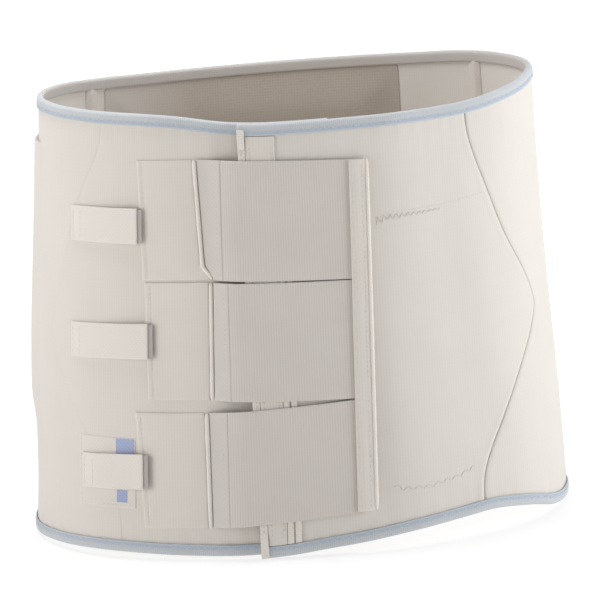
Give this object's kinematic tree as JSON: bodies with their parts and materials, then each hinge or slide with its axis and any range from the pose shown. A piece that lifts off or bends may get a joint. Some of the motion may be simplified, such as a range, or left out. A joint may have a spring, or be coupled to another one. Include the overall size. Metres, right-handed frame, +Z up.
{
  "type": "abdominal binder",
  "caption": "Elastic abdominal binder closed round an empty waist, with a lapped front, ribbed straps, an upright stay band, pull tabs and folded edge binding.",
  "frame": {"origin": "middle of the outline on the surface that the lower rim stands on", "axes": "+Z up along the body, -Y out of the lapped front, +X towards the stay band"},
  "size_m": [0.339, 0.238, 0.2761],
  "materials": {
    "panel_knit": "matte warp-knitted elastic",
    "edge_tape": "matte plain woven tape",
    "binding_tape": "soft folded binding with a blue line",
    "ribbed_elastic": "matte woven elastic with fine upright ribs",
    "strap_web": "flat plain webbing",
    "strap_cloth": "matte brushed knit",
    "tab_cloth": "matte plain webbing",
    "label_cloth": "smooth plain label tape",
    "label_print": "plain blue print",
    "pad_cloth": "matte knitted lining cloth over a soft pad"
  },
  "bodies": {
    "root": {"back_panel": "panel_knit", "front_panel_under": "panel_knit", "front_panel_over": "panel_knit", "side_wrap": "panel_knit", "placket_facing": "panel_knit", "front_edge_tape": "edge_tape", "front_stay_channel_left": "edge_tape", "front_stay_channel_right": "edge_tape", "inner_stay_channel_left": "edge_tape", "inner_stay_channel_right": "edge_tape", "top_binding": "binding_tape", "bottom_binding": "binding_tape", "stay_band": "strap_cloth", "stay_band_cover": "strap_cloth", "stay_band_bead": "edge_tape", "strap_elastic_top": "ribbed_elastic", "strap_elastic_middle": "ribbed_elastic", "strap_elastic_bottom": "ribbed_elastic", "strap_end_band_top": "strap_web", "strap_end_band_middle": "strap_web", "strap_end_band_bottom": "strap_web", "strap_bead_top": "edge_tape", "strap_bead_middle": "edge_tape", "strap_bead_bottom": "edge_tape", "strap_extension_top": "strap_cloth", "strap_extension_middle": "strap_cloth", "strap_extension_bottom": "strap_cloth", "pull_tab_top": "tab_cloth", "pull_tab_middle": "tab_cloth", "pull_tab_bottom": "tab_cloth", "care_label": "label_cloth", "label_mark_upper": "label_print", "label_mark_lower": "label_print", "back_pad": "pad_cloth"}
  },
  "joints": []
}
